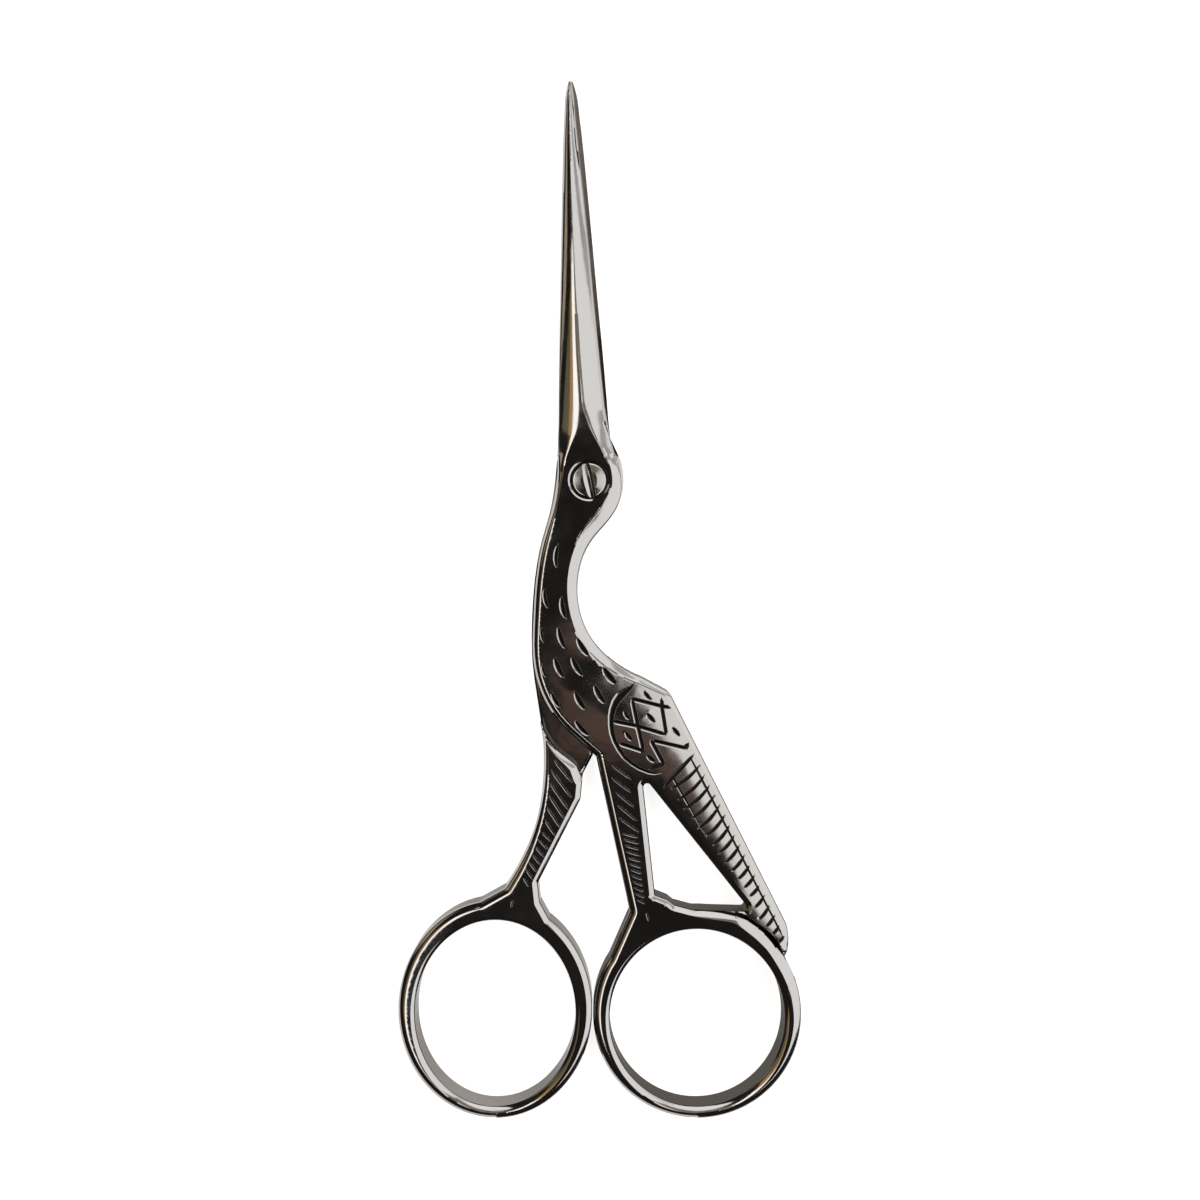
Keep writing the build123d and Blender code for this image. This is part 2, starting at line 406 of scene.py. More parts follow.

# Across a cut, -1 and 1 are its edges and the lean is its bottom. It is black from dark_start on, which takes
# dark_run to come up, and fades out by fade_end: real patina at the bottom, and painted shade on the wall that
# faces away from the light. The side vector below points to the side of that painted wall.
graver_slope, graver_lean = 0.26, -0.1
row_places, thin_half = (-1.0, -0.7, -0.35, -0.1, 0.5, 1.0, 1.3), 0.11
dark_start, dark_run, fade_end = -0.75, 0.3, 1.3
painted_shade_side = np.array([0.8, 0.6])


def spot(px, py):
    """A pixel of the photograph as a place in mm."""
    return ((px - photo_pivot[0]) * photo_scale, (photo_pivot[1] - py) * photo_scale)


def spots(pixels):
    return np.array([spot(*pixel) for pixel in pixels])


class Stroke:
    """A V cut along a line. The wall that faces the light stays bright, and the rest of the cut is black: real
    patina at its bottom, painted shade on the wall turned from the light.
    """

    def __init__(self, pixels, widths, bow=0.0, scale=1.0):
        """widths: rows of share of the length and width in mm. bow: how far the line bulges, of its length."""
        line = spots(pixels)
        count = max(4, int(distances_along(line)[-1] / stroke_step)) + 1
        line, t = spaced(line, count), np.linspace(0, 1, count)
        run = line[-1] - line[0]
        self.line = line + np.outer(4 * t * (1 - t) * bow, (run[1], -run[0]))
        self.widths = np.array(widths) * (1, scale)
        self.across = left_normals(self.line)
        self.sign = 1 if (self.across @ painted_shade_side).sum() > 0 else -1
        self.half = np.interp(t, *self.widths.T) / 2

    def rows(self):
        """Points along the cut: its edges, its walls and its bottom."""
        places = row_places if self.half.max() > thin_half else (-1.0, graver_lean, 1.0)
        return [self.line + self.across * (self.half * u * self.sign)[:, None] for u in places]

    def cut(self, points):
        """How deep the stroke cuts at each point, in mm, and how dark it is painted there, patina and painted
        shade.
        """
        depth, dark = np.zeros(len(points)), np.zeros(len(points))
        margin = self.half.max() * fade_end
        low, high = self.line.min(0) - margin, self.line.max(0) + margin
        near = np.flatnonzero(((points > low) & (points < high)).all(1))
        if len(near):
            gap, place, side = nearest_on(self.line, points[near])
            half = np.maximum(np.interp(place, *self.widths.T) / 2, least_half)
            u = gap * side * self.sign / half
            lit_wall, far_wall = (u + 1) / (graver_lean + 1), (1 - u) / (1 - graver_lean)
            share = np.clip(np.minimum(lit_wall, far_wall), 0, 1)
            depth[near] = share * half * 2 * graver_slope
            begun, left = (u - dark_start) / dark_run, (fade_end - u) / (fade_end - 1)
            dark[near] = np.clip(begun, 0, 1) * np.clip(left, 0, 1)
        return depth, dark


def cut_depths(strokes, points):
    depth, dark = np.zeros(len(points)), np.zeros(len(points))
    for stroke in strokes:
        one_depth, one_dark = stroke.cut(points)
        depth, dark = np.maximum(depth, one_depth), np.maximum(dark, one_dark)
    return depth, dark


# %% [markdown]
# ## What is engraved where
# The breast carries rows of small feathers that lean further over as the body widens. The wing is one long curved
# stroke with a lattice and seeds inside it, the tail is two rails with rungs, and the legs have slanting hatches
# that turn into level ribs towards the feet. All strokes of one kind share one set of widths.

# %% Feathers and wing
feather_cut = [(0, 0.02), (0.1, 0.4), (0.35, 0.64), (0.65, 0.66), (0.9, 0.42), (1, 0.02)]
line_cut = [(0, 0.06), (0.08, 0.52), (0.92, 0.52), (1, 0.06)]
arc_cut = [(0, 0.05), (0.06, 0.5), (0.14, 0.9), (0.22, 0.8), (0.35, 0.6), (0.7, 0.46), (0.92, 0.36), (1, 0.1)]
feather_bow = 0.07

# Middle pixel, lean in degrees, length in pixels and size of each feather on the breast.
feathers = [
    (557, 556, -4, 23, 0.75), (546, 598.7, 11, 20, 0.7), (563.5, 607.6, 10, 22, 0.9), (542.3, 635, 11, 16, 0.5),
    (561.6, 637.6, 17, 23, 0.9), (583, 647, 33, 22, 1.05), (559, 667.6, 24, 22, 1.0), (577, 666.3, 30, 22, 1.0),
    (544, 671.4, 18, 13, 0.5), (609.7, 675.8, 38, 22, 1.2), (599.8, 694.3, 30, 22, 1.05),
    (580, 700.7, 30, 21, 1.0), (555.5, 700, 30, 17, 0.8), (582, 728, 42, 21, 0.9),
]
seeds = [
    (647.3, 695.7, 40, 11, 0.85), (651, 717.9, 41, 12.6, 0.95), (676.3, 731.8, 39, 11.8, 0.9),
    (626.8, 715.2, 32, 11, 0.8), (628.6, 736.1, 38, 11.5, 0.8), (651, 758.5, 50, 11, 0.85),
]
wing_arc = [
    (634, 683), (630.7, 687.4), (624.5, 691.8), (619.5, 696), (615.3, 701.7), (612.3, 709), (610.8, 716.4),
    (610.6, 724.7), (611.6, 733), (614.2, 741.3), (618.5, 749.6), (624.4, 757.9), (631.2, 763.7), (639, 768.7),
    (648.1, 772.4), (655, 773.8), (661.4, 773),
]
lattice = [
    [(630.5, 699), (661.4, 706.9), (671.3, 708.6)],
    [(631.7, 699), (636.8, 724), (643, 751.3)],
    [(611.6, 721.4), (637.3, 726.6), (666.3, 735.5)],
    [(661.4, 698.6), (661.4, 707.3), (665.8, 735.5)],
    [(619.5, 743.8), (643.1, 751.5)],
    [(650.2, 740), (663, 763.7), (649, 769)],
    [(652.5, 741), (685.4, 748.8), (689.1, 743)],
]


def feather(x, y, lean, length, scale):
    across, down = length / 2 * np.sin(np.radians(lean)), length / 2 * np.cos(np.radians(lean))
    return Stroke([(x - across, y - down), (x + across, y + down)], feather_cut, feather_bow, scale)


breast_strokes = [feather(*row) for row in feathers]
wing_strokes = [feather(*row) for row in seeds] + [Stroke(line, line_cut) for line in lattice]
wing_strokes.append(Stroke(wing_arc, arc_cut))
print("strokes on the breast:", len(breast_strokes), "on the wing:", len(wing_strokes))

# %% [markdown]
# The tail's ladder has one long rail near its right side and a short one that fades. Its rungs are bowed, start
# with a tick beyond the long rail, and get shorter as the tail narrows.

# %% Tail and legs
rung_bow = -0.06
ladder_top_size = 1.2
rung_cut = [(0, 0.05), (0.12, 0.3), (0.5, 0.42), (0.92, 0.34), (1, 0.1)]
rail_cut = [(0, 0.2), (0.1, 0.3), (0.95, 0.26), (1, 0.06)]
fading_cut = [(0, 0.3), (0.4, 0.28), (1, 0.04)]
hatch_cut = [(0, 0.03), (0.2, 0.19), (0.8, 0.19), (1, 0.03)]
faint_cut = [(0, 0.02), (0.2, 0.15), (0.8, 0.15), (1, 0.02)]
ladder_top = [(694.1, 754.6), (680, 769.5), (663.8, 786.9)]
long_rail = [(690.6, 758.4), (783.8, 939.2)]
short_rail = [(673, 778), (679.6, 790.2), (689.9, 807.8), (701.2, 829), (707, 838)]
ticks = [(699.8, 765.4), (783.8, 936.3)]
rung_ends = [
    (672, 788), (678, 799.5), (685, 808.5), (692, 818), (699, 828), (706.5, 835.5), (713.2, 844.5), (718.8, 853),
    (725.5, 862.2), (731.6, 870.7), (737.9, 879.1), (744.3, 887.6), (749.9, 896.1), (754.9, 907.4),
    (759.1, 919.4), (766.4, 926.4), (772.5, 934.2), (778.9, 942),
]


def tail_strokes():
    starts = np.linspace(ticks[0], ticks[1], len(rung_ends))
    rungs = [Stroke([tuple(start), end], rung_cut, rung_bow) for start, end in zip(starts, rung_ends)]
    rails = [Stroke(ladder_top, rung_cut, scale=ladder_top_size)]
    rails += [Stroke(long_rail, rail_cut), Stroke(short_rail, fading_cut)]
    return rails + rungs


# Start and end pixel of each slanting hatch, and of the faint level ribs below, which shift on their way down.
right_leg_hatches = [
    (611.2, 765.4, 630.7, 779.5), (612, 778.6, 630.7, 792.7), (616, 793, 633, 807), (618, 806, 636, 821),
    (620, 819, 638, 832),
]
right_leg_ribs = [(622.5 + 0.22 * d, 834 + d, 638 + 0.1 * d, 838 + d) for d in np.arange(0, 72, 6.0)]
left_leg_hatches = [
    (554, 761, 572, 783), (551, 771, 571, 798), (550, 784, 568, 810), (549, 796, 564, 819), (547, 808, 560, 828),
    (545, 821, 555, 836),
]
left_leg_ribs = [(542 - 0.42 * d, 833 + d, 551 - 0.5 * d, 842 + d) for d in np.arange(0, 52, 7.5)]
right_foot_mark = (646, 913, 648.5, 921.5)
left_foot_mark = (512, 901, 511, 907)


def leg_strokes(hatches, faint):
    cuts = [(row, hatch_cut) for row in hatches] + [(row, faint_cut) for row in faint]
    return [Stroke([row[:2], row[2:]], cut) for row, cut in cuts]


front_strokes = breast_strokes + wing_strokes + tail_strokes()
front_strokes += leg_strokes(right_leg_hatches, [*right_leg_ribs, right_foot_mark])
rear_strokes = leg_strokes(left_leg_hatches, [*left_leg_ribs, left_foot_mark])
print("strokes on the front half:", len(front_strokes), "on the rear half:", len(rear_strokes))

# %% [markdown]
# ## How the faces rise and fall
# Every panel is framed by a slope along each edge. In the head the two slopes widen, meet at a ridge, and go on
# as the two bevels of the blade, so one rule serves both: a slope has a width, a drop and a roundness, which
# change along the scissors. Left edges are rounded over and right edges are flat cuts, which is why the real pair
# shows soft lines on its left and clean bright bands on its right.

# %% Slope rows
blade_tip = cad_box[1].y / MM
lap_middle = (cad_box[0].z + cad_box[1].z) / 2 / MM
layer = cad_box[1].z / MM - lap_middle
head_top = 8.3

# Rows of y, width, drop, roundness and, where the cutting edge begins, the drop honed off its very edge, from the
# ring's foot up to the blade.
front_left = [
    (-71, 0.75, 0.5, 1.8), (-60, 0.9, 0.5, 2.0), (-47, 0.85, 0.5, 1.7), (-40, 0.75, 0.5, 1.6),
    (-30, 0.7, 0.5, 1.6), (-22, 0.62, 0.5, 1.6), (-12, 0.72, 0.5, 1.6), (-7, 0.7, 0.5, 1.6), (-2, 0.5, 0.5, 1.5),
    (0, 0.6, 0.5, 1.4), (2.2, 0.8, 0.52, 1.4), (3.3, 1.2, 0.58, 1.45), (4.4, 1.69, 0.64, 1.5),
    (5.5, 2.2, 0.7, 1.6), (6.6, 2.4, 0.75, 1.8),
]
front_right = [
    (-71, 0.65, 0.34, 1.3), (-66, 0.7, 0.36, 1.3), (-60, 0.85, 0.44, 1.25), (-56, 1.05, 0.5, 1.2),
    (-52, 1.1, 0.5, 1.2), (-50, 0.7, 0.3, 1.2), (-46, 0.55, 0.22, 1.3), (-24, 0.55, 0.22, 1.3),
    (-21, 1.1, 0.4, 1.2), (-18, 1.25, 0.45, 1.15), (-15.5, 1.1, 0.5, 1.12), (-9, 1.1, 0.5, 1.12),
    (-6.6, 1.24, 0.5, 1.12), (-4.4, 1.4, 0.5, 1.12), (-2.2, 1.4, 0.5, 1.12), (-0.5, 1.05, 0.5, 1.12),
    (1.3, 0.97, 0.52, 1.12), (3.1, 1.1, 0.62, 1.12), (4, 1.34, 0.68, 1.2), (5.5, 1.85, 0.88, 1.3, 0.0),
    (6.6, 2.12, 1.02, 1.4, 0.25),
]
rear_left = [
    (-71, 0.75, 0.5, 1.8), (-60, 0.9, 0.5, 2.0), (-47, 0.9, 0.5, 1.7), (-40, 0.65, 0.5, 1.6),
    (-28, 0.5, 0.5, 1.5), (-9, 1.1, 0.5, 1.12), (-3, 1.3, 0.5, 1.12), (1.3, 0.97, 0.52, 1.12),
    (4, 1.34, 0.68, 1.2, 0.0), (6.6, 2.12, 1.02, 1.4, 0.25),
]
rear_right = [
    (-71, 0.65, 0.33, 1.3), (-60, 0.62, 0.33, 1.2), (-48, 0.62, 0.33, 1.2), (-40, 0.6, 0.33, 1.15),
    (-34, 0.6, 0.33, 1.12), (-30, 0.8, 0.42, 1.2), (-12, 0.72, 0.5, 1.5), (-2, 0.6, 0.5, 1.5),
    (2.2, 0.8, 0.52, 1.4), (4.4, 1.69, 0.64, 1.5), (6.6, 2.4, 0.75, 1.8),
]

# Rows of y, the ridge's place from the spine as a share of the width, and as shares of a layer the ridge's height
# and the spine's, the edge's and the honed drop.
blade_rows = [
    (head_top, 0.5, 0.985, 0.4, 0.56, 0.25), (14.3, 0.46, 0.92, 0.42, 0.57, 0.24),
    (20.2, 0.44, 0.83, 0.4, 0.53, 0.21), (26.9, 0.43, 0.71, 0.36, 0.47, 0.16),
    (33.6, 0.42, 0.57, 0.3, 0.38, 0.12), (40.3, 0.43, 0.42, 0.22, 0.27, 0.08),
    (43.7, 0.44, 0.33, 0.17, 0.2, 0.07), (blade_tip, 0.45, 0.25, 0.12, 0.14, 0.05),
]
ridge_rows = [(head_top - 1.5, 1.0)] + [(row[0], row[2]) for row in blade_rows]
spine_roundness = 1.9
edge_roundness = 1.4
least_width = 0.2


def along(rows, y, column, window):
    """A column's value at each y, averaged over a short window so that no corner of the table shows."""
    rows = np.array(rows)
    shifts = np.linspace(-window, window, 5)
    return np.mean([np.interp(y + shift, rows[:, 0], rows[:, column]) for shift in shifts], axis=0)


def rail_width(rails, y):
    """The width between the two rails along the blade."""
    sides = []
    for rail in rails:
        upper = rail[rail[:, 1] > 0]
        upper = upper[np.argsort(upper[:, 1])]
        sides.append(np.interp(y, upper[:, 1], upper[:, 0]))
    return np.maximum(sides[1] - sides[0], least_width)


def with_blade(rows, rails, on_spine):
    """The rows of a half's edge, carried on along the blade."""
    added = []
    for y, place, _, spine_drop, edge_drop, honed in blade_rows:
        width = float(rail_width(rails, y))
        if on_spine:
            added.append((y, width * place, layer * spine_drop, spine_roundness))
        else:
            added.append((y, width * (1 - place), layer * edge_drop, edge_roundness, layer * honed))
    return rows + added


# %% [markdown]
# A slope gives the share of its width at each point, and how far the face lies below the panel there. It also
# lays rows of points beside its line, so that the mesh has points exactly where a slope starts and ends.

# %% Slopes
outline_step = 0.13
edge_softening = 0.12
softened_drop = 0.05
honed_width = 0.2
edge_rows = (0.05, 0.12)
row_shares = (0.16, 0.3, 0.5, 0.7, 0.88, 1.0)
row_gap = 0.045
on_line = 0.002
y_window, place_window = 0.5, 0.02


class Slope:
    """rows: y, width, drop, roundness and, for a cutting edge, the drop honed off its very edge.
    With by_place, the share of the line takes the place of y."""

    def __init__(self, line, rows, by_place=False, one_side=0):
        self.line, self.by_place, self.one_side = line, by_place, one_side
        self.rows = [(*row, 0.0)[:5] for row in rows]

    def values(self, points, place):
        key, window = (place, place_window) if self.by_place else (points[:, 1], y_window)
        return [along(self.rows, key, column, window) for column in (1, 2, 3, 4)]

    def measure(self, points):
        """Share of the slope's width, and the drop, at each point."""
        gap, place, side = nearest_on(self.line, points)
        width, drop, roundness, honed = self.values(points, place)
        share = gap / width
        if self.one_side:
            share[(side != self.one_side) & (gap > on_line)] = np.inf
        soft = softened_drop * fading(gap, edge_softening) ** 2
        soft += honed * fading(gap, honed_width)
        lowered = drop * (1 - np.clip(share, 0, 1)) ** roundness + np.where(share < 1, soft, 0)
        return share, lowered

    def point_rows(self):
        """Rows of points beside the line: two for its softened edge, then some at shares of the width."""
        across = left_normals(self.line) * (self.one_side or 1)
        place = np.linspace(0, 1, len(self.line))
        width = self.values(self.line, place)[0]
        rows = [(gap / width, np.full(len(width), True)) for gap in edge_rows]
        for share in row_shares:
            apart = (share * width > edge_rows[-1] + row_gap) & ((1 - share) * width > row_gap)
            rows.append((np.full(len(width), share), apart | (share == 1)))
        return [(share[kept], (self.line + across * (width * share)[:, None])[kept]) for share, kept in rows]


# %% [markdown]
# ## The places of a half's slopes
# The tip and the foot of the ring split the outline into a left and a right rail. The holes have a narrow slope,
# the tail's window a wider one, and on the rear half one follows the step at its shoulder. Where the tail runs
# into the ring, the ring's slope passes under the tail's end, and a black cut parts the two; its black is painted
# shade in that crease. Beside the screw the solids' blade and head meet in a small jog, which a polisher would
# not leave, so it is bridged.

# %% Slopes of a half
hole_rows = [(-71, 0.7, 0.38, 1.2), (-66, 0.6, 0.32, 1.2), (-60, 0.45, 0.25, 1.2), (-40, 0.4, 0.22, 1.2)]
window_rows = [(-48, 0.62, 0.35, 1.12), (-30, 0.62, 0.35, 1.12)]
step_rows = [(0, 0.12, 0.3, 1.15), (0.25, 0.35, 0.4, 1.15), (0.6, 0.7, 0.45, 1.15), (1, 0.95, 0.5, 1.15)]

# The crease in the photograph's pixels, the ring's top edge that leads into it, and the slopes on either side.
crease = [(736, 913), (742, 915), (752, 921.7), (761.5, 928.3), (770, 935.4), (777.1, 943.8), (783.1, 954.2)]
ring_top = [(692.3, 911), (718.4, 912)]
crease_ring_rows = [
    (0, 0.62, 0.35, 1.2), (0.15, 0.85, 0.44, 1.2), (0.3, 1.05, 0.51, 1.2), (0.45, 1.22, 0.57, 1.2),
    (0.6, 1.3, 0.6, 1.2), (0.75, 1.18, 0.55, 1.2), (1, 1.07, 0.5, 1.2),
]
crease_tail_rows = [(0, 0.22, 0.48, 1.0), (1, 0.22, 0.48, 1.0)]
crease_cut = [(0, 0.06), (0.3, 0.4), (0.8, 0.36), (1, 0.12)]
cut_start = [(706, 911.5), (722, 912.8), (738, 915.5), (750, 920.5)]
# The crease's cut: its black is painted shade where the two slopes meet.
front_strokes.append(Stroke(cut_start + crease[3:], crease_cut))

# How far below the crease's end the ring's outline takes over, how far the line follows it, and how many points
# its corners are averaged over.
notch, ring_run, easing_reach = 0.5, 3.5, 8

# A hole of less than this many square millimetres is the tail's window.
window_area = 150


def split_rails(outer):
    """The outline from tip to foot down its left side, and from foot to tip up its right side."""
    tip, foot = int(np.argmax(outer[:, 1])), int(np.argmin(outer[:, 1]))
    turned = np.roll(outer, -tip, 0)
    foot = (foot - tip) % len(outer)
    return turned[: foot + 1], np.vstack([turned[foot:], turned[:1]])


def without_jog(outline, low, high, side):
    """The outline, from its tip on, with the jog between two y bridged on its left (-1) or right (1) side."""
    outline = np.roll(outline, -int(np.argmax(outline[:, 1])), 0)
    jog = np.flatnonzero((outline[:, 1] > low) & (outline[:, 1] < high) & (outline[:, 0] * side > 0))
    start, end = outline[jog[0] - 1], outline[(jog[-1] + 1) % len(outline)]
    bridged = outline.copy()
    bridged[jog] = start + (end - start) * np.linspace(0, 1, len(jog) + 2)[1:-1, None]
    return bridged


def resampled(line):
    """The same polyline with points about as close as the outline's."""
    return spaced(line, int(distances_along(line)[-1] / outline_step))


def eased(line):
    """The line with its corners averaged away."""
    padded = np.vstack([line[:1]] * easing_reach + [line] + [line[-1:]] * easing_reach)
    kernel = np.ones(2 * easing_reach + 1) / (2 * easing_reach + 1)
    return np.stack([np.convolve(padded[:, c], kernel, "valid") for c in (0, 1)], 1)


def with_ring(line, rail):
    """The crease carried on along the ring's outline, so that the ring's slope runs on without a kink."""
    below = rail[(rail[:, 1] < line[-1, 1] - notch) & (rail[:, 1] > line[-1, 1] - ring_run)]
    return eased(resampled(np.vstack([line, below[::-1]])))


def outline_slopes(curves, node):
    left, right = split_rails(curves[0])
    on_front = node == "front_half"
    left_rows, right_rows = (front_left, front_right) if on_front else (rear_left, rear_right)
    slopes = [Slope(left, with_blade(left_rows, (left, right), on_front))]
    slopes.append(Slope(right, with_blade(right_rows, (left, right), not on_front)))
    for hole in curves[1:]:
        is_window = abs(signed_area(hole)) < window_area
        slopes.append(Slope(closed(hole), window_rows if is_window else hole_rows))
    return slopes


# %% [markdown]
# The wing and the tail are crowned towards their right edge, as a polishing wheel leaves a broad panel: an extra
# drop grows with the square of the way from the panel's flat. The lap faces slide on each other, so they are
# flat, and only their edges are eased.

# %% Face heights
crown_drop = 0.5

# Rows of y, the crown's share of that drop, and how far it reaches in from the right edge, in mm.
crown_rows = [
    (-60, 0.0, 4), (-52, 0.0, 4), (-48, 0.7, 4), (-40, 0.8, 4.8), (-32, 0.9, 5.5), (-24, 1.0, 6.5),
    (-20, 0.5, 6.5), (-16, 0.0, 6.5),
]
ridge_window, crown_window = 1.2, 1.5

# Width, drop and roundness of the lap's eased edge, and the y where it ends with the way it takes to fade.
lap_easing, lap_eased, lap_roundness = 0.3, 0.18, 1.3
blade_foot, blade_foot_fade = 3.0, 2


def face_drop(points, slopes, crown_rail=None):
    """How far a face lies below full thickness at each point."""
    y = points[:, 1]
    low = layer * (1 - along(ridge_rows, y, 1, ridge_window))
    drop = np.max([slope.measure(points)[1] for slope in slopes], axis=0)
    if crown_rail is not None:
        gap = nearest_on(crown_rail, points)[0]
        crown = fading(gap, along(crown_rows, y, 2, crown_window)) ** 2
        drop = drop + crown_drop * along(crown_rows, y, 1, crown_window) * crown
    return low + drop


def lap_drop(points, outer):
    """The easing of a lap face along the outline, below the blade, where nothing cuts."""
    gap = nearest_on(closed(outer), points)[0]
    below_blade = np.clip((blade_foot - points[:, 1]) / blade_foot_fade, 0, 1)
    return lap_eased * fading(gap, lap_easing) ** lap_roundness * below_blade


# %% [markdown]
# ## Laying out the points
# Rows of points follow each slope where that slope is in charge, and strokes bring their own rows. The rest of
# the flats gets a loose hexagonal grid, because flat metal needs no more.

# %% Point layout
flat_step = 0.27
hex_rise = 0.866
own_margin, other_margin = 0.94, 0.99
clear_of_slopes = 1.12
clear_of_edges = 0.02


def hex_grid(low, high, step):
    xs = np.arange(low[0], high[0], step)
    ys = np.arange(low[1], high[1], step * hex_rise)
    grid_x, grid_y = np.meshgrid(xs, ys)
    grid_x[1::2] += step / 2
    return np.stack([grid_x.ravel(), grid_y.ravel()], 1)


def rows_in_charge(slope, slopes):
    """The slope's rows, without the points where another slope is nearer to its own line."""
    kept = []
    for share, row in slope.point_rows():
        own = slope.measure(row)[0]
        others = np.min([other.measure(row)[0] for other in slopes if other is not slope], axis=0)
        kept.append(row[(own > share * own_margin) & (others > share * other_margin)])
    return kept


def lay_out(curves, slopes, strokes):
    """All loose points of a half."""
    loose = [row for slope in slopes for row in rows_in_charge(slope, slopes)]
    loose += [row for stroke in strokes for row in stroke.rows()]
    grid = hex_grid(curves[0].min(0), curves[0].max(0), flat_step)
    clear = np.min([slope.measure(grid)[0] for slope in slopes], axis=0)
    loose.append(grid[clear > clear_of_slopes])
    points = np.concatenate(loose)
    steel = inside(curves[0], points)
    for hole in curves[1:]:
        steel &= ~inside(hole, points)
    edge_gap = np.min([nearest_on(closed(curve), points)[0] for curve in curves], axis=0)
    return points[steel & (edge_gap > clear_of_edges)]


# %% [markdown]
# ## The lap's step and the screw's seat
# Each real half is milled down to half its thickness where the two lie on each other, and the front one is
# counterbored for the screw. Booleans would leave slivers along the smooth slopes, so the step and the seat are
# lines in the plan, which part it into regions with a front and a rear surface each.

# %% Step and counterbore
# Levels in mm: both faces of the lap, the counterbore's floor, and how far from them the solids are cut to read
# them.
front_lap, rear_lap = 2.02, 2.0
counterbore_floor = 3.07
beside_lap, beyond_lap, above_floor = 0.06, 0.2, 0.4
on_outline = 0.02

# The jogs beside the screw: from y to y, and on which side.
jogs = {"front_half": [(1.0, 2.9, -1)], "rear_half": [(0.2, 6.0, -1), (2.5, 4.8, 1)]}

# The bevelled rim of the counterbore, its rings of points in shares of its width, and the room kept free about
# it.
rim_width, rim_drop = 0.18, 0.11
rim_points, rim_shares = 120, (0.33, 0.67, 1.0, 1.3)
rim_inner_room, rim_outer_room = 0.05, 1.4


def step_line(outline, beyond):
    """The stretch of the loop beyond the lap that leaves the outline, from its higher end to its lower one."""
    dense = smoothed(beyond, outline_step)
    off = np.flatnonzero(nearest_on(closed(outline), dense)[0] > on_outline)
    breaks = np.flatnonzero(np.diff(off) > 1)
    if len(breaks):
        off = np.concatenate([off[breaks[0] + 1 :], off[: breaks[0] + 1]])
    line = dense[off]
    if line[0, 1] < line[-1, 1]:
        line = line[::-1]
    ends = [outline[np.argmin(lengths(outline - end))] for end in (line[0], line[-1])]
    return np.vstack([ends[0], line, ends[1]])


def middle_distance(loop):
    return np.linalg.norm(loop.mean(0))


def rim_rows(radius):
    """Circles of points round the counterbore, for its bevelled rim."""
    return [circle(rim_points) * (radius + rim_width * share) for share in rim_shares]


def half_lines(node, lap, above):
    """The outline with its holes, the same without the pivot's hole, the loop beyond the lap, and the step."""
    loops = section_loops(node, lap + above * beside_lap)
    loops = [loop if (signed_area(loop) > 0) == (i == 0) else loop[::-1] for i, loop in enumerate(loops)]
    curves = [smoothed(loop, outline_step) for loop in loops]
    for jog in jogs[node]:
        curves[0] = without_jog(curves[0], *jog)
    bore = min(range(1, len(curves)), key=lambda i: middle_distance(curves[i]))
    bored = [curve for i, curve in enumerate(curves) if i != bore]
    beyond = section_loops(node, lap - above * beyond_lap)[0]
    return curves, bored, beyond, step_line(curves[0], beyond)


def region_surfaces(plan, curves, beyond, above, rim):
    """The front and the rear surface of each region of the plan, or None outside the steel."""
    fronts, rears = {}, {}
    for region, centre in enumerate(plan.centres()):
        full = holds(beyond, centre)
        fronts[region] = rears[region] = None
        if holds(curves[0], centre) and not any(holds(hole, centre) for hole in curves[1:]):
            fronts[region] = "front" if above > 0 or full else "lap"
            rears[region] = "rear" if above < 0 or full else "lap"
            if np.linalg.norm(centre) < rim:
                fronts[region] = "floor"
    return fronts, rears


# %% [markdown]
# ## One forged half
# This is the whole recipe for a half, used twice: it reads the lines, gives each its slope, lays out the points,
# works out the heights, and builds the mesh. The back is not in the photograph. As a guess each half's back has
# the slopes and the strokes of its front, and the rear half's has the breast's feathers as well.

# %% Forged half
step_probe = 0.1
# How much painted shade darkens the upright walls of each half.
front_painted_wall_shade, rear_painted_wall_shade = 0.75, 0.2


